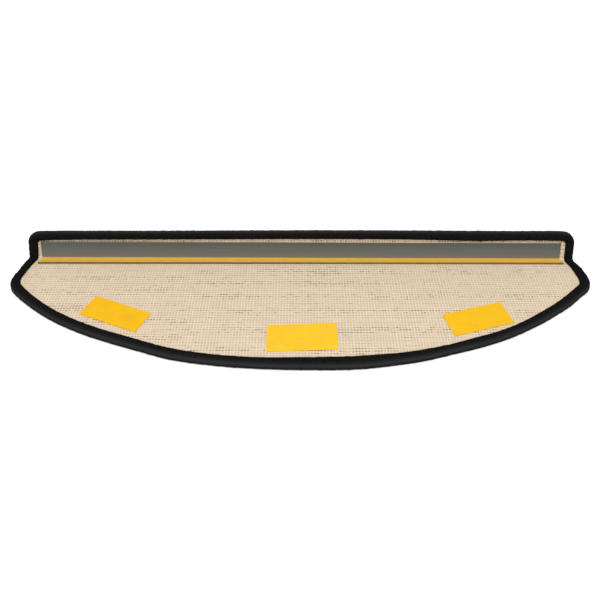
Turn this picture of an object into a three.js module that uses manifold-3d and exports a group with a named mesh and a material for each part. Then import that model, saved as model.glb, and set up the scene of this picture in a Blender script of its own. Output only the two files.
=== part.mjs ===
// Anti-slip stair tread mat, lying with its woven underside up and its nose flap standing at the rear.
// A carpet sheet is folded once, bound round its edge, and stiffened in the fold by an extruded angle.
// Millimetres, +X along the width, +Y towards the flap, +Z up.

import * as THREE from "three";
import { mergeGeometries, mergeVertices } from "three/addons/utils/BufferGeometryUtils.js";
import Module from "manifold-3d";

const wasm = await Module();
wasm.setup();

// Outline of the mat, measured on the sheet before it is folded
const matWidth = 650;
const matDepth = 240;
const matHeight = 43;
const middleRadius = 500;
const middleHalfAngle = 0.105;
const frontCornerRadius = 41;
const flankLength = 47;
const waistInset = 9.5;
const waistRadius = 4.5;
const flapCornerRadius = 14;

// Layers of the sheet
const pileThickness = 7.2;
const backingThickness = 1.1;
const layerGap = 0.1;
const foldInnerRadius = 4;

// Weave of the backing
const weftPitch = 5.08;
const weftCrown = 2.2;
const weftSlope = 0.7;
const weftRelief = 0.35;
const warpPitch = 3.175;
const gapCount = 120;
const gapLength = 2;
const gapWidth = 1.3;

// Serged binding
const bindingWidth = 10.2;
const bindingThickness = 11.4;
const bindingWall = 2;
const pileLip = 1.8;
const bindingNose = 4.6;
const bindingClearance = 0.25;

// Extruded angle in the fold
const profileEndGap = 5.3;
const profileEndFlare = 3;
const profileWall = 1.2;
const flapStrip = 2.85;
const lyingLeg = 12.6;
const profileFillet = 0.7;
const profileTipRadius = 0.4;

// Double-sided tape and adhesive pads
const tapeWidth = 10;
const tapeThickness = 0.4;
const tapeClearance = 0.15;
const padThickness = 0.5;
const bondLine = 0.05;

// Levels through the sheet, from the pile's face
const backingUnder = pileThickness + layerGap;
const backingFace = backingUnder + backingThickness;

// The fold: its axis lies above the backing, parallel to X
const foldAxis = backingFace + foldInnerRadius;
const neutralRadius = foldAxis - bindingThickness / 2;
const foldStart = matDepth - foldAxis;
const foldEnd = foldStart + neutralRadius * Math.PI / 2;
const flapTop = foldEnd + matHeight - foldAxis;
const flapHalfWidth = matWidth / 2 - waistInset;
const profileLength = 2 * (flapHalfWidth - bindingWidth - profileEndGap);

// Places a point of the flat sheet (across, along, through) on the folded one.
function fold(u, v, w) {
  const turn = THREE.MathUtils.clamp((v - foldStart) / neutralRadius, 0, Math.PI / 2);
  const arm = foldAxis - w;
  const y = Math.min(v, foldStart) + arm * Math.sin(turn) - matDepth / 2;
  const z = foldAxis - arm * Math.cos(turn) + Math.max(v - foldEnd, 0);
  return [u, y, z];
}

// Stations along an arc of the outline. side is 1 on a corner and -1 in a hollow.
function arc(centreU, centreV, radius, from, to, count, side = 1) {
  return Array.from({ length: count + 1 }, (_, i) => {
    const angle = THREE.MathUtils.lerp(from, to, i / count);
    const [cos, sin] = [Math.cos(angle), Math.sin(angle)];
    return { u: centreU + radius * cos, v: centreV + radius * sin, inU: -side * cos, inV: -side * sin };
  });
}

// The shoulder arc that runs from the flat middle of the front into both of its neighbours smoothly.
function shoulder(cornerU, cornerV) {
  const [sin, cos] = [Math.sin(middleHalfAngle), Math.cos(middleHalfAngle)];
  const depth = middleRadius - cornerV;
  const outer = middleRadius - frontCornerRadius;
  const drop = (outer ** 2 - cornerU ** 2 - depth ** 2) / (2 * (outer - cornerU * sin - depth * cos));
  return { u: drop * sin, v: middleRadius - drop * cos, radius: middleRadius - drop };
}

// Right half of the unfolded outline, from the middle of the front to the middle of the flap: a flat
// middle arc, a shoulder, a corner, a straight flank and a small hollow at the waist, then the flap.
function rightEdge() {
  const cornerU = matWidth / 2 - frontCornerRadius;
  const cornerV = foldStart - flankLength;
  const side = shoulder(cornerU, cornerV);
  const meet = Math.atan2(cornerU - side.u, side.v - cornerV) - Math.PI / 2;
  const middleEnd = middleHalfAngle - Math.PI / 2;

  const across = flapHalfWidth + waistRadius - cornerU;
  const along = foldStart - cornerV;
  const bothRadii = frontCornerRadius + waistRadius;
  const lean = Math.atan2(along, across) - Math.acos(bothRadii / Math.hypot(across, along));

  const cornerTop = flapTop - flapCornerRadius;
  const bend = Array.from({ length: 7 }, (_, i) => (
    { u: flapHalfWidth, v: THREE.MathUtils.lerp(foldStart, foldEnd, i / 6), inU: -1, inV: 0 }));

  return [
    ...arc(0, middleRadius, middleRadius, -Math.PI / 2, middleEnd, 4),
    ...arc(side.u, side.v, side.radius, middleEnd, meet, 15).slice(1),
    ...arc(cornerU, cornerV, frontCornerRadius, meet, lean, 8).slice(1),
    ...arc(flapHalfWidth + waistRadius, foldStart, waistRadius,
      Math.PI + lean, Math.PI, 3, -1).slice(0, -1),
    ...bend,
    ...arc(flapHalfWidth - flapCornerRadius, cornerTop, flapCornerRadius, 0, Math.PI / 2, 6),
    { u: 0, v: flapTop, inU: 0, inV: -1 },
  ];
}

// Builds a closed mesh from rings of points, each joined to the next.
function ringMesh(rings, closed) {
  const sides = rings[0].length;
  const index = [];
  const quad = (a, b, c, d) => index.push(a, b, c, a, c, d);
  const spans = closed ? rings.length : rings.length - 1;
  for (let i = 0; i < spans; i++) {
    const [near, far] = [i * sides, ((i + 1) % rings.length) * sides];
    for (let j = 0; j < sides; j++) {
      const next = (j + 1) % sides;
      quad(near + j, near + next, far + next, far + j);
    }
  }
  if (!closed) {
    const last = (rings.length - 1) * sides;
    quad(3, 2, 1, 0);
    quad(last, last + 1, last + 2, last + 3);
  }
  const geometry = new THREE.BufferGeometry();
  geometry.setAttribute("position", new THREE.Float32BufferAttribute(rings.flat(2), 3));
  geometry.setIndex(index);
  return geometry;
}

// Rows across the sheet, each with its half width, inside the outline by inset.
function sheetRows(inset, extra = []) {
  const edge = rightEdge().map(({ u, v, inU, inV }) => ({ v: v + inset * inV, half: u + inset * inU }));
  const rows = edge.filter((row, i) => row.half > 1 && (i === 0 || row.v - edge[i - 1].v > 0.01));
  for (const v of extra) {
    const next = rows.findIndex((row) => row.v > v + 0.02);
    if (next < 1 || v - rows[next - 1].v < 0.02) continue;
    const [below, above] = [rows[next - 1], rows[next]];
    const share = (v - below.v) / (above.v - below.v);
    rows.splice(next, 0, { v, half: THREE.MathUtils.lerp(below.half, above.half, share) });
  }
  return rows;
}

// A layer of the folded sheet between two levels; either may change along the sheet.
function layer(rows, under, over) {
  return ringMesh(rows.map(({ v, half }) => [
    fold(-half, v, under(v)), fold(-half, v, over(v)), fold(half, v, over(v)), fold(half, v, under(v)),
  ]), false);
}

// Boolean solids
function solid(geometry) {
  const bare = geometry.clone();
  bare.deleteAttribute("normal");
  bare.deleteAttribute("uv");
  const welded = mergeVertices(bare, 1e-4);
  return new wasm.Manifold(new wasm.Mesh({
    numProp: 3,
    vertProperties: new Float32Array(welded.attributes.position.array),
    triVerts: new Uint32Array(welded.index.array),
  }));
}

function fromSolid(body) {
  const { vertProperties, triVerts } = body.getMesh();
  const geometry = new THREE.BufferGeometry();
  geometry.setAttribute("position", new THREE.Float32BufferAttribute(vertProperties, 3));
  geometry.setIndex(new THREE.Uint32BufferAttribute(triVerts, 1));
  return geometry;
}

// Carpet: full pile inside the binding, and an edge squeezed thinner where the binding wraps it.
function tuftedCarpet() {
  const level = (w) => () => w;
  const edge = layer(sheetRows(bindingWall + bindingClearance),
    level(pileLip + bindingClearance), level(pileThickness));
  const pile = layer(sheetRows(bindingWidth + bindingClearance), level(0), level(pileThickness));
  return fromSolid(solid(edge).add(solid(pile)));
}

// Woven backing: weft ribbons run across the mat as flat-topped ridges.
function weftRows() {
  const rows = [];
  for (let start = weftPitch / 2; start < flapTop; start += weftPitch) {
    const inFold = start + weftPitch > foldStart && start < foldEnd;
    if (!inFold) rows.push(start, start + weftSlope, start + weftSlope + weftCrown,
      start + 2 * weftSlope + weftCrown);
  }
  return rows;
}

function weftFace(v) {
  const along = THREE.MathUtils.euclideanModulo(v - weftPitch / 2, weftPitch);
  const start = v - along;
  if (start + weftPitch > foldStart && start < foldEnd) return backingFace - weftRelief;
  const fromCrown = Math.abs(along - weftSlope - weftCrown / 2) - weftCrown / 2;
  const drop = THREE.MathUtils.clamp(fromCrown / weftSlope, 0, 1);
  return backingFace - weftRelief * drop;
}

// Gaps of the open weave, between the ribbons and between the paired warp threads.
function weaveGaps() {
  const rows = Math.floor((foldStart - lyingLeg) / weftPitch) - 4;
  const columns = Math.floor(matWidth / warpPitch);
  const furrow = weftCrown / 2 + weftSlope + (weftPitch - weftCrown - 2 * weftSlope) / 2;
  const crown = weftPitch / 2 + weftSlope + weftCrown / 2;
  const edge = sheetRows(bindingWidth + gapLength);
  const gaps = [];
  for (let i = 0; gaps.length < gapCount; i++) {
    const row = 3 + (i * 17) % rows;
    const v = row * weftPitch + crown + furrow;
    const half = edge.find((station) => station.v > v - weftPitch).half - gapLength;
    const column = Math.round(((i * 0.618034) % 1 - 0.5) * columns);
    const u = column * warpPitch;
    if (Math.abs(u) > half) continue;
    const gap = new THREE.BoxGeometry(gapLength, gapWidth, 3 * backingThickness);
    gap.translate(u, v - matDepth / 2, backingUnder + backingThickness / 2);
    gaps.push(gap);
  }
  return mergeGeometries(gaps);
}

function wovenBacking() {
  const rows = sheetRows(bindingWall + bindingClearance, weftRows());
  const sheet = layer(rows, () => backingUnder, weftFace);
  return fromSolid(solid(sheet).subtract(solid(weaveGaps())));
}

// Section of the binding: a slot that takes the carpet's edge, and a rounded nose outside it.
function bindingSection() {
  const slotUnder = pileLip;
  const slotOver = backingFace + bindingClearance;
  const lipRadius = bindingThickness - slotOver - 0.2;
  const section = new THREE.Path();
  section.moveTo(bindingWall, slotUnder);
  section.lineTo(bindingWall, slotOver);
  section.lineTo(bindingWidth, slotOver);
  section.absarc(bindingWidth - lipRadius, bindingThickness - lipRadius, lipRadius, 0, Math.PI / 2);
  section.absarc(bindingNose, bindingThickness - bindingNose, bindingNose, Math.PI / 2, Math.PI);
  section.absarc(bindingNose, bindingNose, bindingNose, Math.PI, Math.PI * 1.5);
  section.absarc(bindingWidth - pileLip, pileLip, pileLip, -Math.PI / 2, 0);
  return section.getPoints(3).filter((point, i, all) => i === 0 || point.distanceTo(all[i - 1]) > 1e-3);
}

function edgeBinding() {
  const right = rightEdge();
  const left = right.slice(1, -1).reverse().map((at) => ({ ...at, u: -at.u, inU: -at.inU }));
  const section = bindingSection();
  return ringMesh([...right, ...left].map(({ u, v, inU, inV }) => (
    section.map(({ x, y }) => fold(u + x * inU, v + x * inV, y)))), true);
}

// Extruded angle: one leg stands against the flap, the other lies on the backing.
const profileBack = matDepth / 2 - backingFace - bondLine;
const profileTop = matHeight - bindingWidth - flapStrip;

function angleProfile() {
  const back = profileBack;
  const base = backingFace + bondLine;
  const outer = foldInnerRadius - bondLine;
  const fillet = profileFillet;
  const tip = profileTipRadius;
  const [front, top] = [back - lyingLeg, profileTop];
  const shape = new THREE.Shape();
  shape.moveTo(front + tip, base);
  shape.absarc(back - outer, base + outer, outer, -Math.PI / 2, 0);
  shape.absarc(back - tip, top - tip, tip, 0, Math.PI / 2);
  shape.absarc(back - profileWall + tip, top - tip, tip, Math.PI / 2, Math.PI);
  shape.absarc(back - profileWall - fillet, base + profileWall + fillet, fillet, 0, -Math.PI / 2, true);
  shape.absarc(front + tip, base + profileWall - tip, tip, Math.PI / 2, Math.PI);
  shape.absarc(front + tip, base + tip, tip, Math.PI, Math.PI * 1.5);
  return alongX(shape, profileLength);
}

// Extrudes a side view drawn in (y, z) along X, centred on the mat. Both ends are sawn at a slant, so
// the front edge of the lying leg is the longest line.
function alongX(shape, length) {
  const geometry = new THREE.ExtrudeGeometry(shape, { depth: length, bevelEnabled: false, curveSegments: 6 });
  geometry.applyMatrix4(new THREE.Matrix4().makeBasis(
    new THREE.Vector3(0, 1, 0), new THREE.Vector3(0, 0, 1), new THREE.Vector3(1, 0, 0)));
  geometry.translate(-length / 2, 0, 0);
  const place = geometry.attributes.position;
  for (let i = 0; i < place.count; i++) {
    const flare = profileEndFlare * (profileBack - place.getY(i)) / lyingLeg;
    place.setX(i, place.getX(i) + Math.sign(place.getX(i)) * flare);
  }
  return geometry;
}

function profileTape() {
  const filletFoot = profileBack - profileWall - profileFillet;
  const front = filletFoot - tapeClearance - tapeWidth;
  const under = backingFace + 2 * bondLine + profileWall;
  const shape = new THREE.Shape();
  shape.moveTo(front, under);
  shape.lineTo(front + tapeWidth, under);
  shape.lineTo(front + tapeWidth, under + tapeThickness);
  shape.lineTo(front, under + tapeThickness);
  return alongX(shape, profileLength);
}

// A pad is a length of wide tape with its two ends cut at a slant.
function adhesivePad({ length, width, slant }) {
  const shift = width / 2 / Math.tan(slant);
  const shape = new THREE.Shape([
    new THREE.Vector2(-length / 2 - shift, -width / 2),
    new THREE.Vector2(length / 2 - shift, -width / 2),
    new THREE.Vector2(length / 2 + shift, width / 2),
    new THREE.Vector2(-length / 2 + shift, width / 2),
  ]);
  return new THREE.ExtrudeGeometry(shape, { depth: padThickness, bevelEnabled: false });
}

const leftShare = -0.302;
const rightShare = 0.2866;
const pads = {
  left: { length: 75, width: 40, slant: 1.82, turn: -0.548, x: leftShare * matWidth, fromFront: 100.8 },
  centre: { length: 72, width: 53, slant: 1.51, turn: 0.061, x: 1.5, fromFront: 52.2 },
  right: { length: 71, width: 44.3, slant: 1.356, turn: 0.404, x: rightShare * matWidth, fromFront: 90.1 },
};

// Materials
const material = (color, roughness, metalness = 0) => (
  new THREE.MeshStandardMaterial({ color, roughness, metalness }));

const finishes = {
  tufted_carpet: material(0x2a2826, 0.98),
  woven_backing: material(0xd5c1a8, 0.9),
  edge_binding: material(0x1c1b1b, 0.85),
  angle_profile: material(0x5f645f, 0.45),
  profile_tape: material(0xdcab3c, 0.5),
};

// Assembly
const mat = new THREE.Group();

function addPiece(name, geometry, finish) {
  const mesh = new THREE.Mesh(geometry, finish);
  mesh.name = name;
  mat.add(mesh);
  return mesh;
}

addPiece("tufted_carpet", tuftedCarpet(), finishes.tufted_carpet);
addPiece("woven_backing", wovenBacking(), finishes.woven_backing);
addPiece("edge_binding", edgeBinding(), finishes.edge_binding);
addPiece("angle_profile", angleProfile(), finishes.angle_profile);
addPiece("profile_tape", profileTape(), finishes.profile_tape);

for (const [side, pad] of Object.entries(pads)) {
  const mesh = addPiece(`${side}_adhesive_pad`, adhesivePad(pad), material(0xfbc53a, 0.5));
  mesh.rotation.z = pad.turn;
  mesh.position.set(pad.x, pad.fromFront - matDepth / 2, backingFace + bondLine);
}

export default mat;
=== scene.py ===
"""Anti-slip stair tread mat, lying with its woven underside up and its nose flap standing behind.

Made as the real one is: a carpet sheet is cut, backed, bound round its edge, folded once,
stiffened in the fold by an angle profile, and given its tape and adhesive pads.
"""
import math

import bmesh
import bpy
import numpy as np
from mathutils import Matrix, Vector, noise


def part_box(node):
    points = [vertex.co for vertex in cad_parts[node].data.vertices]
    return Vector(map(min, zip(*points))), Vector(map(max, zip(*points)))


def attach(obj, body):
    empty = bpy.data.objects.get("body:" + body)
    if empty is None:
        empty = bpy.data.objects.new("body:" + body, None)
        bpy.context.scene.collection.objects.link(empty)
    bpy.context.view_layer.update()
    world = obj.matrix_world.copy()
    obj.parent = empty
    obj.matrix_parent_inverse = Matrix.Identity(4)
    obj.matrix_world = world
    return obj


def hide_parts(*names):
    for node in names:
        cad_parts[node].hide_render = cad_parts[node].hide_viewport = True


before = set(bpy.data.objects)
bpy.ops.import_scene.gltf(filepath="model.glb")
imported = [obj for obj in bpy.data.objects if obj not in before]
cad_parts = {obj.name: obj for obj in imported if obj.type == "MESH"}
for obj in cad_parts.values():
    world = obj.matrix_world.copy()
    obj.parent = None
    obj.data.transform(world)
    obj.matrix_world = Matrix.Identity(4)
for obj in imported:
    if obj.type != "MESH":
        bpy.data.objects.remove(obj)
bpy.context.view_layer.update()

# Tufted carpet
# Short dark tufts stitched through a primary cloth and locked with a coat of latex. It is cut flat to a
# half-moon with a rectangular flap, and folded once across its width, so the flap stands up behind.
# Sizes are millimetres on the flat sheet: u across, v from the front to the flap, w up from the pile.
MM = 0.001
low, high = (Vector(corner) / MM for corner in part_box("edge_binding"))
WIDTH, DEPTH, HEIGHT = high - low
MIDDLE_RADIUS = 500
MIDDLE_HALF_ANGLE = 0.105
CORNER_RADIUS = 41
FLANK = 47
WAIST_INSET = 9.5
WAIST_RADIUS = 4.5
FLAP_CORNER = 14
CARPET_TOP = 7.2
FOLD_AXIS = 12.4
BINDING_THICK = 11.4
FOLD_SKEW = 2.2
FLAP_TILT = 0.7
FLAP_SAG = 0.5
FLAP_CROWN_AT = 40
FLAP_CROWN_REACH = 110
TUFT_ACROSS = 3.6
TUFT_ALONG = 4.0
TUFT_FOOT = 0.45
TUFT_DOME = 1.1
TUFT_UNEVEN = 0.35
PILE_INSET = 4.5
BENDS = 10

NEUTRAL = FOLD_AXIS - BINDING_THICK / 2
FOLD_START = DEPTH - FOLD_AXIS
FOLD_END = FOLD_START + NEUTRAL * math.pi / 2
FLAP_TOP = FOLD_END + HEIGHT - FOLD_AXIS
FLAP_HALF = WIDTH / 2 - WAIST_INSET
SKEW_START = 90
SKEW_END = FOLD_START - 10

# Where the cutting knife left the drawn line: across, along, reach, and the shift of the edge there
KNIFE_STRAYS = (
    (60, 0, 50, 0, -2.4),
    (-75, 4, 45, 0, -0.9),
    (-182, 41, 30, 0.9, 1.7),
    (286, 118, 30, -0.8, 1.0),
    (321, 214, 15, 2.5, 0),
    (-321, 214, 15, -1.9, 0),
    (315, 262, 30, 0.8, 0.3),
    (313, 267, 9, -0.5, -0.7),
    (312, 149, 18, -1.6, 1.2),
    (326, 182, 13, -0.9, 0),
    (322, 162, 8, 0.6, -0.2),
    (299, 132, 14, 0.5, -0.5),
    (318, 226, 14, -0.6, -1.2),
    (-318, 228, 14, 0, 2.6),
    (-316, 152, 24, -1.0, -0.7),
    (-326, 194, 17, 1.3, 0),
    (-272, 104, 30, -0.6, -0.9),
    (118, 15, 22, 0, -1.0),
    (205, 53, 22, 0.2, -0.8),
    (-116, 14, 24, 0, -1.0),
    (55, 3, 20, 0, -0.9),
    (156, 29, 12, -0.2, 0.6),
    (-139, 23, 14, 0, -0.9),
    (-308, 266, 9, 0.6, -0.6),
)


def arc(centre_u, centre_v, radius, start, end, step, side=1):
    """Points of the outline along an arc, each with the direction that leads into the sheet."""
    count = max(2, round(abs(end - start) * radius / step))
    points = []
    for i in range(count + 1):
        angle = start + (end - start) * i / count
        cos, sin = math.cos(angle), math.sin(angle)
        points.append((centre_u + radius * cos, centre_v + radius * sin, -side * cos, -side * sin))
    return points


def line(start, end, step):
    """Points of the outline along a straight stretch, without its first one."""
    count = max(2, round(math.dist(start[:2], end[:2]) / step))
    return [tuple(a + (b - a) * i / count for a, b in zip(start, end)) for i in range(1, count + 1)]


def right_outline(step):
    """Right half of the outline, from the middle of the front to the middle of the flap's top."""
    corner_u = WIDTH / 2 - CORNER_RADIUS
    corner_v = FOLD_START - FLANK
    sin, cos = math.sin(MIDDLE_HALF_ANGLE), math.cos(MIDDLE_HALF_ANGLE)
    depth = MIDDLE_RADIUS - corner_v
    outer = MIDDLE_RADIUS - CORNER_RADIUS
    drop = (outer ** 2 - corner_u ** 2 - depth ** 2) / (2 * (outer - corner_u * sin - depth * cos))
    side_u, side_v, side_radius = drop * sin, MIDDLE_RADIUS - drop * cos, MIDDLE_RADIUS - drop
    meet = math.atan2(corner_u - side_u, side_v - corner_v) - math.pi / 2
    middle_end = MIDDLE_HALF_ANGLE - math.pi / 2
    across, along = FLAP_HALF + WAIST_RADIUS - corner_u, FLANK
    lean = math.atan2(along, across) - math.acos((CORNER_RADIUS + WAIST_RADIUS) / math.hypot(across, along))

    points = arc(0, MIDDLE_RADIUS, MIDDLE_RADIUS, -math.pi / 2, middle_end, step)
    points += arc(side_u, side_v, side_radius, middle_end, meet, step)[1:]
    points += arc(corner_u, corner_v, CORNER_RADIUS, meet, lean, step)[1:]
    waist = arc(FLAP_HALF + WAIST_RADIUS, FOLD_START, WAIST_RADIUS, math.pi + lean, math.pi, step, -1)
    points += line(points[-1], waist[0], step) + waist[1:]
    points += line(points[-1], (FLAP_HALF, FLAP_TOP - FLAP_CORNER, -1, 0), step)
    corner = arc(FLAP_HALF - FLAP_CORNER, FLAP_TOP - FLAP_CORNER, FLAP_CORNER, 0, math.pi / 2, step)
    points += corner[1:]
    points += line(points[-1], (0, FLAP_TOP, 0, -1), step)
    return points


def inside(inset):
    """Tells whether a flat point lies inside the outline by that much."""
    edge = [(v + inset * in_v, u + inset * in_u) for u, v, in_u, in_v in right_outline(4)]
    edge = [edge[0]] + [b for a, b in zip(edge, edge[1:]) if b[0] > a[0] + 1e-4]
    levels, halves = np.array(edge).T
    return lambda u, v: levels[0] < v < levels[-1] and abs(u) < np.interp(v, levels, halves)


def bell(u, v, at_u, at_v, reach):
    """1 at a place on the sheet, falling smoothly to nothing around it."""
    return math.exp(-((u - at_u) ** 2 + (v - at_v) ** 2) / (2 * reach ** 2))


def askew(u):
    """How much further back the fold lies there, because it was not folded quite square."""
    return -FOLD_SKEW * u / (WIDTH / 2)


def fold_point(u, v, w):
    """Where a point of the flat sheet lies once the knife and the fold have been at it, in metres."""
    for at_u, at_v, reach, shift_u, shift_v in KNIFE_STRAYS:
        near = bell(u, v, at_u, at_v, reach)
        u += near * shift_u
        v += near * shift_v
    turn = min(max((v - FOLD_START) / NEUTRAL, 0), math.pi / 2)
    arm = FOLD_AXIS - w
    y = min(v, FOLD_START) + arm * math.sin(turn) - DEPTH / 2
    z = FOLD_AXIS - arm * math.cos(turn) + max(v - FOLD_END, 0)
    at_fold = min(max((v - SKEW_START) / (SKEW_END - SKEW_START), 0), 1)
    up_flap = max(v - FOLD_END, 0) / (FLAP_TOP - FOLD_END)
    y += askew(u) * at_fold ** 2 * (3 - 2 * at_fold)
    crown = bell(u, 0, FLAP_CROWN_AT, 0, FLAP_CROWN_REACH)
    z += up_flap * (FLAP_TILT * u / (WIDTH / 2) + crown - FLAP_SAG)
    return Vector((u, y, z)) * MM


def fold_up(bm):
    """Folds a piece that was modelled flat, and keeps its flat places for the patterns on it."""
    flat = bm.verts.layers.float_vector.new("flat")
    for vert in bm.verts:
        vert[flat] = vert.co * MM
        vert.co = fold_point(*vert.co)


def finish(bm, name, materials, node=None, crisp=False):
    """Turns a bmesh in metres into a smooth piece that rides on the mat."""
    mesh = bpy.data.meshes.new(name)
    bmesh.ops.recalc_face_normals(bm, faces=bm.faces)
    bm.to_mesh(mesh)
    bm.free()
    mesh.polygons.foreach_set("use_smooth", [True] * len(mesh.polygons))
    piece = bpy.data.objects.new(name, mesh)
    bpy.context.scene.collection.objects.link(piece)
    for material in materials:
        mesh.materials.append(material)
    if crisp:
        mesh.set_sharp_from_angle(angle=math.radians(40))
        piece.modifiers.new("flat faces shaded flat", "WEIGHTED_NORMAL").keep_sharp = True
    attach(piece, "root")
    if node:
        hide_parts(node)
    return piece


def screen(red, green, blue):
    """Linear colour of an 8-bit screen colour."""
    def linear(level):
        level /= 255
        return level / 12.92 if level <= 0.04045 else ((level + 0.055) / 1.055) ** 2.4
    return (linear(red), linear(green), linear(blue), 1)


def surface_grain():
    """Group: a stretched noise as a mask from 0 to 1, and the relief that it makes."""
    group = bpy.data.node_groups.new("surface grain", "ShaderNodeTree")
    sockets = group.interface
    sockets.new_socket("Place", in_out="INPUT", socket_type="NodeSocketVector")
    sockets.new_socket("Grains per metre", in_out="INPUT", socket_type="NodeSocketVector")
    sockets.new_socket("Relief", in_out="INPUT", socket_type="NodeSocketFloat")
    sockets.new_socket("Mask", in_out="OUTPUT", socket_type="NodeSocketFloat")
    sockets.new_socket("Normal", in_out="OUTPUT", socket_type="NodeSocketVector")
    nodes, links = group.nodes, group.links
    given = nodes.new("NodeGroupInput")
    scaled = nodes.new("ShaderNodeVectorMath")
    scaled.operation = "MULTIPLY"
    grain = nodes.new("ShaderNodeTexNoise")
    grain.inputs["Scale"].default_value = 1
    grain.inputs["Detail"].default_value = 3
    spread = nodes.new("ShaderNodeMapRange")
    spread.inputs["From Min"].default_value = 0.3
    spread.inputs["From Max"].default_value = 0.7
    relief = nodes.new("ShaderNodeBump")
    result = nodes.new("NodeGroupOutput")
    links.new(given.outputs["Place"], scaled.inputs[0])
    links.new(given.outputs["Grains per metre"], scaled.inputs[1])
    links.new(scaled.outputs[0], grain.inputs["Vector"])
    links.new(grain.outputs["Fac"], spread.inputs["Value"])
    links.new(spread.outputs["Result"], result.inputs["Mask"])
    links.new(grain.outputs["Fac"], relief.inputs["Height"])
    links.new(given.outputs["Relief"], relief.inputs["Distance"])
    links.new(relief.outputs["Normal"], result.inputs["Normal"])
    return group


GRAIN = surface_grain()


def grained(name, colours, roughness, per_metre, relief, specular=0.5, attribute="flat"):
    """A material whose colour and roughness run between two levels with a grain of its own."""
    material = bpy.data.materials.new(name)
    material.use_nodes = True
    nodes, links = material.node_tree.nodes, material.node_tree.links
    shader = nodes["Principled BSDF"]
    shader.inputs["Specular IOR Level"].default_value = specular
    if attribute:
        place = nodes.new("ShaderNodeAttribute")
        place.attribute_name = attribute
        vector = place.outputs["Vector"]
    else:
        place = nodes.new("ShaderNodeTexCoord")
        vector = place.outputs["Object"]
    grain = nodes.new("ShaderNodeGroup")
    grain.node_tree = GRAIN
    grain.inputs["Grains per metre"].default_value = per_metre
    grain.inputs["Relief"].default_value = relief
    tint = nodes.new("ShaderNodeMix")
    tint.data_type = "RGBA"
    tint.inputs["A"].default_value = screen(*colours[0])
    tint.inputs["B"].default_value = screen(*colours[1])
    polish = nodes.new("ShaderNodeMapRange")
    polish.inputs["To Min"].default_value = roughness[0]
    polish.inputs["To Max"].default_value = roughness[1]
    links.new(vector, grain.inputs["Place"])
    links.new(grain.outputs["Mask"], tint.inputs["Factor"])
    links.new(grain.outputs["Mask"], polish.inputs["Value"])
    links.new(tint.outputs["Result"], shader.inputs["Base Color"])
    links.new(polish.outputs["Result"], shader.inputs["Roughness"])
    links.new(grain.outputs["Normal"], shader.inputs["Normal"])
    return material


grid_u, grid_v = TUFT_ACROSS / 3, TUFT_ALONG / 3
columns = 2 * round(WIDTH / 2 / grid_u)
rows = round(FLAP_TOP / grid_v)
bm = bmesh.new()
bmesh.ops.create_grid(bm, x_segments=columns, y_segments=rows, size=1)
in_binding = inside(PILE_INSET)
for vert in bm.verts:
    u, v = vert.co.x * columns * grid_u / 2, (vert.co.y + 1) / 2 * rows * grid_v
    tuft = Vector((round(u / TUFT_ACROSS), round(v / TUFT_ALONG), 0))
    from_tuft = math.hypot(u / TUFT_ACROSS - tuft.x, v / TUFT_ALONG - tuft.y)
    dome = TUFT_DOME * min(from_tuft / 0.6, 1) ** 2
    length = TUFT_UNEVEN * noise.noise(tuft * 1.7)
    vert.co = (u, v, max(0.02, TUFT_FOOT + dome + length))
bmesh.ops.delete(bm, geom=[v for v in bm.verts if not in_binding(v.co.x, v.co.y)], context="VERTS")
rim = [e for e in bm.edges if e.is_boundary]
walls = bmesh.ops.extrude_edge_only(bm, edges=rim)["geom"]
for vert in (g for g in walls if isinstance(g, bmesh.types.BMVert)):
    vert.co.z = CARPET_TOP
top_rim = [e for e in bm.edges if e.is_boundary]
bmesh.ops.triangle_fill(bm, edges=top_rim, use_beauty=True)

# The latex is one flat face so far, and these cuts let it follow the skew, the bend and the strays
top = [f for f in bm.faces if all(v.co.z > CARPET_TOP - 0.01 for v in f.verts)]
top += list({e for f in top for e in f.edges}) + list({v for f in top for v in f.verts})
bend_cuts = [FOLD_START + (FOLD_END - FOLD_START) * i / BENDS for i in range(BENDS + 1)]
cuts = [((0, at, 0), (0, 1, 0)) for at in [90, 118, 146, 174, 202] + bend_cuts + [250, 262]]
cuts += [((side * at, 0, 0), (1, 0, 0)) for side in (-1, 1) for at in (240, 270, 285, 295, 302, 309)]
for place, normal in cuts:
    top = bmesh.ops.bisect_plane(bm, geom=top, plane_co=place, plane_no=normal, dist=1e-4)["geom"]
for face in bm.faces:
    face.material_index = int(all(v.co.z > CARPET_TOP - 0.01 for v in face.verts))
fold_up(bm)
pile_paint = grained("dark cut pile", ((24, 23, 23), (58, 56, 54)), (0.9, 1.0),
                     (900, 900, 900), 0.0004, 0.2)
latex_paint = grained("latex coat", ((138, 118, 95), (168, 148, 123)), (0.5, 0.8),
                      (300, 300, 300), 0.0001)
pile = finish(bm, "carpet_pile", (pile_paint, latex_paint), "tufted_carpet")

# Woven backing
# An open leno weave glued over the latex: flat spun weft ribbons run across the mat, and pairs of thin
# tapes bind them from front to back. Along a few rows the ribbons were pulled apart, and the latex shows.
WEFT_PITCH = 5.08
WARP_PITCH = 3.175
WEFT_WIDTH = 5.05
WEFT_HEIGHT = 0.7
WEFT_EDGE = 0.17
WEFT_SINK = 0.2
WEFT_PRESSED = 0.07
WEFT_UNEVEN = 0.03
WEFT_WANDER = 0.2
WARP_WIDTH = 1.5
WARP_THICK = 0.3
WARP_SINK = 0.14
WARP_RIDE = 0.1
WARP_SWAY = 0.35
WEAVE_INSET = 6.8
SHORTEST_RUN = 8
BACKING_FACE = 8.4


def strand(bm, stations, section):
    """Lofts a closed thread through its stations; section gives each one's ring of points."""
    around = len(section(*stations[0]))
    made = bmesh.ops.create_grid(bm, x_segments=around, y_segments=len(stations) - 1, size=1)["verts"]
    for i, station in enumerate(stations):
        ring = section(*station)
        for j in range(around + 1):
            made[i * (around + 1) + j].co = ring[j % around]


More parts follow.
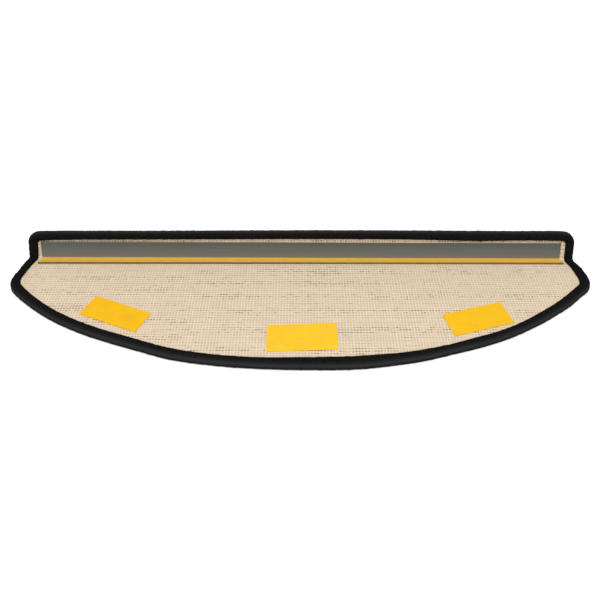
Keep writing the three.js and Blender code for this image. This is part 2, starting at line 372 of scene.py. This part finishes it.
def close_strands(bm):
    """Welds each thread's seam and caps its two ends."""
    bmesh.ops.remove_doubles(bm, verts=bm.verts, dist=1e-5)
    bmesh.ops.holes_fill(bm, edges=[e for e in bm.edges if e.is_boundary], sides=8)


# Gaps, counted from the front, where it happened: left of the splice in the cloth, and right of it
SPLICE = -118
PULLED_LEFT = (9.5, 16.2, 22.8, 29.6, 35.7, 50.4)
PULLED_RIGHT = (5, 12.8, 20.6, 27.2, 33.2, 38.8, 50.4)

# How far a ribbon's edge can draw back, and how much each cause adds to that: one of the rows above,
# a loose spell of the loom, a single loose stitch, and the bending at the flap's two ends
PULL = 0.64
ROW_CAUSE = 0.8
ROW_SPREAD = 1.6
SPELL_CAUSE = 0.8
STITCH_CAUSE = 1.3
ENDS_CAUSE = 0.7
TIGHTNESS = 0.53
ROWS_TO_TIGHTEN = 300
ABRUPTNESS = 1.7


def pulled_apart(u, gap):
    """0 where a gap between two ribbons is closed, up to 1 where they were pulled apart."""
    lines = PULLED_LEFT if u < SPLICE else PULLED_RIGHT
    wander = noise.noise(Vector((u / 45, gap / 9, 4.2)))
    near = math.exp(-min((gap + wander - at) ** 2 for at in lines) / ROW_SPREAD)
    spell = noise.noise(Vector((u / 50, gap / 5, 3.1)))
    stitch = noise.noise(Vector((u / 4, gap * 1.9, 8.4)))
    at_ends = bell(abs(u), gap * WEFT_PITCH, 307, 252, 8)
    causes = ROW_CAUSE * near + SPELL_CAUSE * spell + STITCH_CAUSE * stitch + ENDS_CAUSE * at_ends
    return min(max(ABRUPTNESS * (causes - TIGHTNESS - gap / ROWS_TO_TIGHTEN), 0), 1)


def weft_section(u, v):
    """Ring round a ribbon: its edges, a crown that each warp pair presses down, and its belly."""
    row = round(v / WEFT_PITCH)
    half = WEFT_WIDTH / 2 * (1 + WEFT_UNEVEN * noise.noise(Vector((u / 9, v, 0))))
    front, back = (half - PULL * pulled_apart(u, gap) for gap in (row - 1, row))
    crown = BACKING_FACE - WEFT_SINK - WEFT_PRESSED * (1 + math.cos(2 * math.pi * u / WARP_PITCH))
    v += WEFT_WANDER * noise.noise(Vector((u / 40, v / 5, 5)))
    return [(u, v - front, crown - WEFT_EDGE), (u, v - front * 0.6, crown), (u, v + back * 0.6, crown),
            (u, v + back, crown - WEFT_EDGE), (u, v, crown - WEFT_HEIGHT)]


covered = inside(WEAVE_INSET)
steps = math.ceil(WIDTH / WARP_PITCH)
bm = bmesh.new()
row = WEFT_PITCH
while row < FLAP_TOP:
    across = [(i * WARP_PITCH / 2, row) for i in range(-steps, steps + 1)]
    across = [place for place in across if covered(*place)]
    if len(across) > SHORTEST_RUN:
        strand(bm, across, weft_section)
    row += WEFT_PITCH
close_strands(bm)
fold_up(bm)
weft_paint = grained("spun weft", ((211, 189, 161), (230, 210, 183)), (0.8, 0.95),
                     (60, 900, 900), 0.0002, 0.3)
weft = finish(bm, "weft_ribbons", (weft_paint,), "woven_backing")


def warp_section(u, v):
    """Ring round a warp pair, which sways from side to side and rides over each ribbon."""
    centre = u + WARP_SWAY * math.cos(math.pi * v / WEFT_PITCH)
    top = BACKING_FACE - WARP_SINK + WARP_RIDE * math.cos(2 * math.pi * v / WEFT_PITCH)
    half = WARP_WIDTH / 2
    return [(centre - half, v, top - WARP_THICK), (centre, v, top), (centre + half, v, top - WARP_THICK)]


columns = math.ceil(WIDTH / 2 / WARP_PITCH)
steps = math.ceil(4 * FLAP_TOP / WEFT_PITCH)
bm = bmesh.new()
for column in range(-columns, columns + 1):
    along = [(column * WARP_PITCH, i * WEFT_PITCH / 4) for i in range(steps)]
    along = [place for place in along if covered(*place)]
    if len(along) > SHORTEST_RUN:
        strand(bm, along, warp_section)
close_strands(bm)
fold_up(bm)
warp_paint = grained("slit tape warp", ((226, 207, 180), (242, 226, 202)), (0.6, 0.8),
                     (900, 60, 900), 0.0001, 0.3)
warp = finish(bm, "warp_threads", (warp_paint,), None)

# Serged binding
# Black yarn overlocked round the whole edge: hundreds of close wraps that swell over the sheet's edge
# and press its pile thin. It turns up with the flap at the waist on each side.
BINDING_WIDTH = 10.2
WRAP_PITCH = 2.1
WRAP_STEPS = 4
WRAP_SWELL = 0.55
WRAP_LEAN = 0.5
WRAP_LOOSE = 0.4
BAND_UNEVEN = 0.2
NOSE = 4.6
LIP = 1.8
WALL = 2.0
SLOT_TOP = BACKING_FACE + 0.25
SLOT_EDGE = 0.2
# Painted sheen: a paler band painted on the outer side of the wraps in place of a highlight, reaching this
# far in from the outside, centred at this height, with this spread
SHEEN_REACH = 5
SHEEN_AT = 6.4
SHEEN_SPREAD = 2.8

# Where the sewing took a wider or narrower bite: across, along, reach, and the change in width
BITES = (
    (50, 2, 36, 3.6),
    (322, 185, 20, 2.6),
    (225, 62, 22, -1.4),
    (298, 132, 12, 0.8),
    (200, FLAP_TOP, 32, 1.3),
    (-322, 178, 34, 1.4),
    (312, 262, 26, 0.9),
    (-312, 262, 26, 0.9),
    (0, FLAP_TOP, 190, -0.9),
    (-5, 0, 22, 1.4),
    (156, 29, 12, -1.5),
    (-314, 254, 14, 0.7),
    (-321, 200, 12, -0.6),
)


def band_width(u, v):
    """Width of the binding there, with the bites of the sewing."""
    return BINDING_WIDTH + sum(bell(u, v, at_u, at_v, reach) * more for at_u, at_v, reach, more in BITES)


def binding_ring(width):
    """Section of the binding as (inwards, through, swell), from the slot round the outside."""
    lip = BINDING_THICK - SLOT_TOP - SLOT_EDGE
    ring = [(WALL, LIP, 0), (WALL, SLOT_TOP, 0), (width, SLOT_TOP, 0)]
    corners = ((width - lip, BINDING_THICK - lip, lip, 0, 3), (NOSE, BINDING_THICK - NOSE, NOSE, 1, 4),
               (NOSE, NOSE, NOSE, 2, 4), (width - LIP, LIP, LIP, 3, 2))
    for a, w, radius, quarter, count in corners:
        for i in range(count + 1):
            angle = (quarter + i / count) * math.pi / 2
            ring.append((a + radius * math.cos(angle), w + radius * math.sin(angle), 1))
    return ring


outline = right_outline(WRAP_PITCH / WRAP_STEPS)
outline += [(-u, v, -in_u, in_v) for u, v, in_u, in_v in outline[-2:0:-1]]
around = len(binding_ring(BINDING_WIDTH))
bm = bmesh.new()
painted_sheen = bm.verts.layers.float.new("painted_sheen")
made = bmesh.ops.create_grid(bm, x_segments=around, y_segments=len(outline), size=1)["verts"]
middle = Vector((BINDING_WIDTH / 2, BINDING_THICK / 2))
for i in range(len(outline) + 1):
    u, v, in_u, in_v = outline[i % len(outline)]
    ring = binding_ring(band_width(u, v))
    for j in range(around + 1):
        a, w, swell = ring[j % around]
        wrap = i / WRAP_STEPS + WRAP_LEAN * a / BINDING_WIDTH
        groove = WRAP_SWELL * (0.5 + 0.5 * math.cos(2 * math.pi * wrap))
        loose = WRAP_LOOSE * noise.noise(Vector((round(wrap) * 0.37, 0, 2)))
        loose += BAND_UNEVEN * noise.noise(Vector((u / 30, v / 30, 7)))
        out = (Vector((a, w)) - middle).normalized() * swell * (loose - groove)
        # How strongly each point takes the painted sheen, which stands in for a highlight on the outer side
        outer_side = max(1 - a / SHEEN_REACH, 0)
        made[i * (around + 1) + j][painted_sheen] = outer_side * math.exp(-((w - SHEEN_AT) / SHEEN_SPREAD) ** 2)
        a, w = a + out.x, max(w + out.y, 0)
        made[i * (around + 1) + j].co = (u + a * in_u, v + a * in_v, w)
fold_up(bm)
bmesh.ops.remove_doubles(bm, verts=bm.verts, dist=1e-6)


def lead_towards(material, factor, colour):
    """Leads the material's colour towards another one where the factor rises to 1."""
    nodes, links = material.node_tree.nodes, material.node_tree.links
    base = nodes["Principled BSDF"].inputs["Base Color"]
    tint = nodes.new("ShaderNodeMix")
    tint.data_type = "RGBA"
    tint.inputs["B"].default_value = screen(*colour)
    links.new(base.links[0].from_socket, tint.inputs["A"])
    links.new(factor, tint.inputs["Factor"])
    links.new(tint.outputs["Result"], base)


binding_paint = grained("black overlocked yarn", ((15, 15, 15), (28, 28, 28)), (0.6, 0.8),
                        (500, 500, 500), 0.0002, 0)
# The yarn is painted paler on its outer side, as a painted highlight
sheen_mask = binding_paint.node_tree.nodes.new("ShaderNodeAttribute")
sheen_mask.attribute_name = "painted_sheen"
lead_towards(binding_paint, sheen_mask.outputs["Fac"], (50, 50, 50))
binding = finish(bm, "yarn_binding", (binding_paint,), "edge_binding")

# Angle profile
# An extruded grey plastic angle pressed into the fold, with a small fillet inside and its heel rounded
# to the fold. It was glued in along the fold, so it lies as far from square as the fold does.
PROFILE_WALL = 1.2
PROFILE_FILLET = 1.5
PROFILE_HEEL = 3.95
PROFILE_TIP = 0.4
PROFILE_STEPS = 40
PROFILE_FORWARD = 0.8
FRONT_SKEW = 0.4
END_FLARE = 3.0

profile_low, profile_high = (Vector(corner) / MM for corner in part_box("angle_profile"))


def lay_askew(bm):
    """Sets a straight piece along the fold's line, its front edge nearer to square, in metres."""
    for vert in bm.verts:
        share = (vert.co.y - profile_low.y) / (profile_high.y - profile_low.y)
        vert.co.y += askew(vert.co.x) * (FRONT_SKEW + (1 - FRONT_SKEW) * share)
        vert.co *= MM


def slant_ends(bm, low, high, flare):
    """Saws the ends so that the front edge is the longest line."""
    for vert in bm.verts:
        if abs(vert.co.x) > high.x - flare - 0.01:
            share = (high.y - vert.co.y) / (high.y - low.y)
            vert.co.x = math.copysign(high.x - flare + flare * share, vert.co.x)


def long_edges(bm, y, z):
    """Edges along the mat's width that pass through a point of the side view."""
    return [e for e in bm.edges if all(abs(v.co.y - y) < 1e-3 and abs(v.co.z - z) < 1e-3 for v in e.verts)]


def round_over(bm, edges, radius, segments):
    bmesh.ops.bevel(bm, geom=edges, offset=radius, segments=segments, affect="EDGES",
                    profile=0.5, material=-1)


front, back = profile_low.y - PROFILE_FORWARD, profile_high.y
base, top = profile_low.z, profile_high.z
bm = bmesh.new()
bmesh.ops.create_grid(bm, x_segments=PROFILE_STEPS, y_segments=1, size=1)
for vert in bm.verts:
    vert.co = (vert.co.x * (profile_high.x - END_FLARE), front if vert.co.y < 0 else back, base)
rear = long_edges(bm, back, base)
raised = bmesh.ops.extrude_edge_only(bm, edges=rear)["geom"]
leg_top = [g for g in raised if isinstance(g, bmesh.types.BMVert)]
bmesh.ops.translate(bm, vec=(0, 0, top - base), verts=leg_top)
bmesh.ops.recalc_face_normals(bm, faces=bm.faces)
bmesh.ops.solidify(bm, geom=bm.faces, thickness=PROFILE_WALL)
if min(v.co.z for v in bm.verts) < base - 0.1:
    bmesh.ops.translate(bm, vec=(0, -PROFILE_WALL, PROFILE_WALL), verts=bm.verts)
inner_y, inner_z = back - PROFILE_WALL, base + PROFILE_WALL
round_over(bm, long_edges(bm, back, base), PROFILE_HEEL, 6)
round_over(bm, long_edges(bm, inner_y, inner_z), PROFILE_FILLET, 5)
for y, z in ((front, base), (front, inner_z), (back, top), (inner_y, top)):
    round_over(bm, long_edges(bm, y, z), PROFILE_TIP, 3)
slant_ends(bm, profile_low, profile_high, END_FLARE)
# Painted shade: the rounded front edge of the lying leg is marked here, to be painted darker
painted_edge_shade = bm.verts.layers.float.new("painted_edge_shade")
for vert in bm.verts:
    vert[painted_edge_shade] = vert.co.y < front + PROFILE_TIP + 0.01
lay_askew(bm)
profile_paint = grained("grey satin extrusion", ((60, 65, 65), (71, 76, 76)), (0.18, 0.28),
                        (3, 900, 900), 0.00003, 1.0, None)
nodes, links = profile_paint.node_tree.nodes, profile_paint.node_tree.links
# Painted bounce light: the grey is painted paler towards the fold, in place of light bounced up from the
# tape and backing
place = nodes.new("ShaderNodeTexCoord")
height = nodes.new("ShaderNodeSeparateXYZ")
painted_bounce_light = nodes.new("ShaderNodeMapRange")
painted_bounce_light.inputs["From Min"].default_value = top * MM
painted_bounce_light.inputs["From Max"].default_value = base * MM
links.new(place.outputs["Object"], height.inputs["Vector"])
links.new(height.outputs["Z"], painted_bounce_light.inputs["Value"])
lead_towards(profile_paint, painted_bounce_light.outputs["Result"], (103, 112, 113))
# The front edge is painted darker grey, as painted shade along it
edge_shade_mask = nodes.new("ShaderNodeAttribute")
edge_shade_mask.attribute_name = "painted_edge_shade"
lead_towards(profile_paint, edge_shade_mask.outputs["Fac"], (56, 58, 56))
profile = finish(bm, "extruded_angle", (profile_paint,), "angle_profile", crisp=True)

# Profile tape
# A strip of double-sided tape, pressed on the profile's lying leg from end to end. Its yellow plastic liner
# is still on, and its rear edge rides up the profile's fillet.
TAPE_SET_BACK = 0.4
TAPE_ONTO_FILLET = 0.25
TAPE_RISE = 0.45

tape_low, tape_high = (Vector(corner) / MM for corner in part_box("profile_tape"))
front, back = tape_low.y + TAPE_SET_BACK, tape_high.y + TAPE_ONTO_FILLET
bm = bmesh.new()
bmesh.ops.create_grid(bm, x_segments=PROFILE_STEPS, y_segments=8, size=1)
for vert in bm.verts:
    share = (vert.co.y + 1) / 2
    y = front + share * (back - front)
    up_fillet = TAPE_RISE * share ** 4
    vert.co = (vert.co.x * (profile_high.x - END_FLARE), y, tape_low.z + up_fillet)
bmesh.ops.recalc_face_normals(bm, faces=bm.faces)
raised = bmesh.ops.extrude_face_region(bm, geom=bm.faces[:])["geom"]
top = [g for g in raised if isinstance(g, bmesh.types.BMVert)]
bmesh.ops.translate(bm, vec=(0, 0, tape_high.z - tape_low.z), verts=top)
slant_ends(bm, profile_low, profile_high, END_FLARE)
lay_askew(bm)
tape_paint = grained("yellow tape liner", ((223, 169, 50), (232, 180, 58)), (0.4, 0.5),
                     (120, 300, 300), 0.00002, 0.3, None)
tape = finish(bm, "tape_liner", (tape_paint,), "profile_tape", crisp=True)

# Adhesive pads
# Three lengths of wide foam tape under smooth yellow liners, each snipped off at a slant and stuck to the
# weave by hand. Their shapes are the CAD ones, and each liner has its own shade.
pad_colours = {"left": ((237, 179, 6), (243, 189, 14)), "centre": ((243, 188, 34), (249, 198, 46)),
               "right": ((238, 182, 14), (244, 192, 26))}
for side, colours in pad_colours.items():
    pad_paint = grained(f"{side} pad liner", colours, (0.4, 0.55), (60, 60, 60), 0.00002, 0.08, None)
    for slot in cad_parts[f"{side}_adhesive_pad"].material_slots:
        slot.material = pad_paint

# Studio
# A white floor that keeps the mat's soft shadow, plain white surroundings, one large softbox above and
# in front, and a camera at the photo's angle.


def seen_directly(nodes, links):
    """1 for the camera and for mirrors and glass, so all of them see the plain white ground."""
    path = nodes.new("ShaderNodeLightPath")
    total = path.outputs["Is Camera Ray"]
    for ray in ("Is Glossy Ray", "Is Transmission Ray"):
        either = nodes.new("ShaderNodeMath")
        either.operation = "MAXIMUM"
        links.new(total, either.inputs[0])
        links.new(path.outputs[ray], either.inputs[1])
        total = either.outputs[0]
    return total


bpy.ops.mesh.primitive_plane_add(size=12, location=(0, 2, 0))
floor = bpy.context.object
floor.name = "studio_floor"
floor_paint = bpy.data.materials.new("white floor")
floor_paint.use_nodes = True
nodes, links = floor_paint.node_tree.nodes, floor_paint.node_tree.links
nodes.clear()
out = nodes.new("ShaderNodeOutputMaterial")
white = nodes.new("ShaderNodeBsdfDiffuse")
white.inputs["Color"].default_value = (0.85, 0.85, 0.85, 1)
glow = nodes.new("ShaderNodeEmission")
glow.inputs["Strength"].default_value = 0.45
add = nodes.new("ShaderNodeAddShader")
mix = nodes.new("ShaderNodeMixShader")
links.new(white.outputs[0], add.inputs[0])
links.new(glow.outputs[0], add.inputs[1])
links.new(seen_directly(nodes, links), mix.inputs[0])
links.new(white.outputs[0], mix.inputs[1])
links.new(add.outputs[0], mix.inputs[2])
links.new(mix.outputs[0], out.inputs[0])
floor.data.materials.append(floor_paint)

world = bpy.data.worlds.new("studio")
bpy.context.scene.world = world
world.use_nodes = True
nodes, links = world.node_tree.nodes, world.node_tree.links
sky = nodes["Background"]
sky.inputs["Color"].default_value = (1, 1, 1, 1)
level = nodes.new("ShaderNodeMapRange")
level.inputs["To Min"].default_value = 0.5
level.inputs["To Max"].default_value = 1.0
links.new(seen_directly(nodes, links), level.inputs["Value"])
links.new(level.outputs["Result"], sky.inputs["Strength"])

lamp = bpy.data.lights.new("front softbox", "AREA")
lamp.shape = "RECTANGLE"
lamp.size, lamp.size_y = 2.0, 1.2
lamp.energy = 37.5
softbox = bpy.data.objects.new("front softbox", lamp)
softbox.location = (0, -1.25, 1.65)
softbox.rotation_euler = (math.radians(37), 0, 0)
bpy.context.scene.collection.objects.link(softbox)

view = bpy.data.cameras.new("photo view")
view.sensor_width = 36
view.lens = 1091 / 600 * 36
view.clip_end = 50
camera = bpy.data.objects.new("photo view", view)
camera.location = (-0.00071, -1.0266, 0.5732)
camera.rotation_euler = (math.radians(90 - 28.55), 0, 0)
bpy.context.scene.collection.objects.link(camera)
bpy.context.scene.camera = camera
bpy.context.scene.view_settings.view_transform = "Standard"
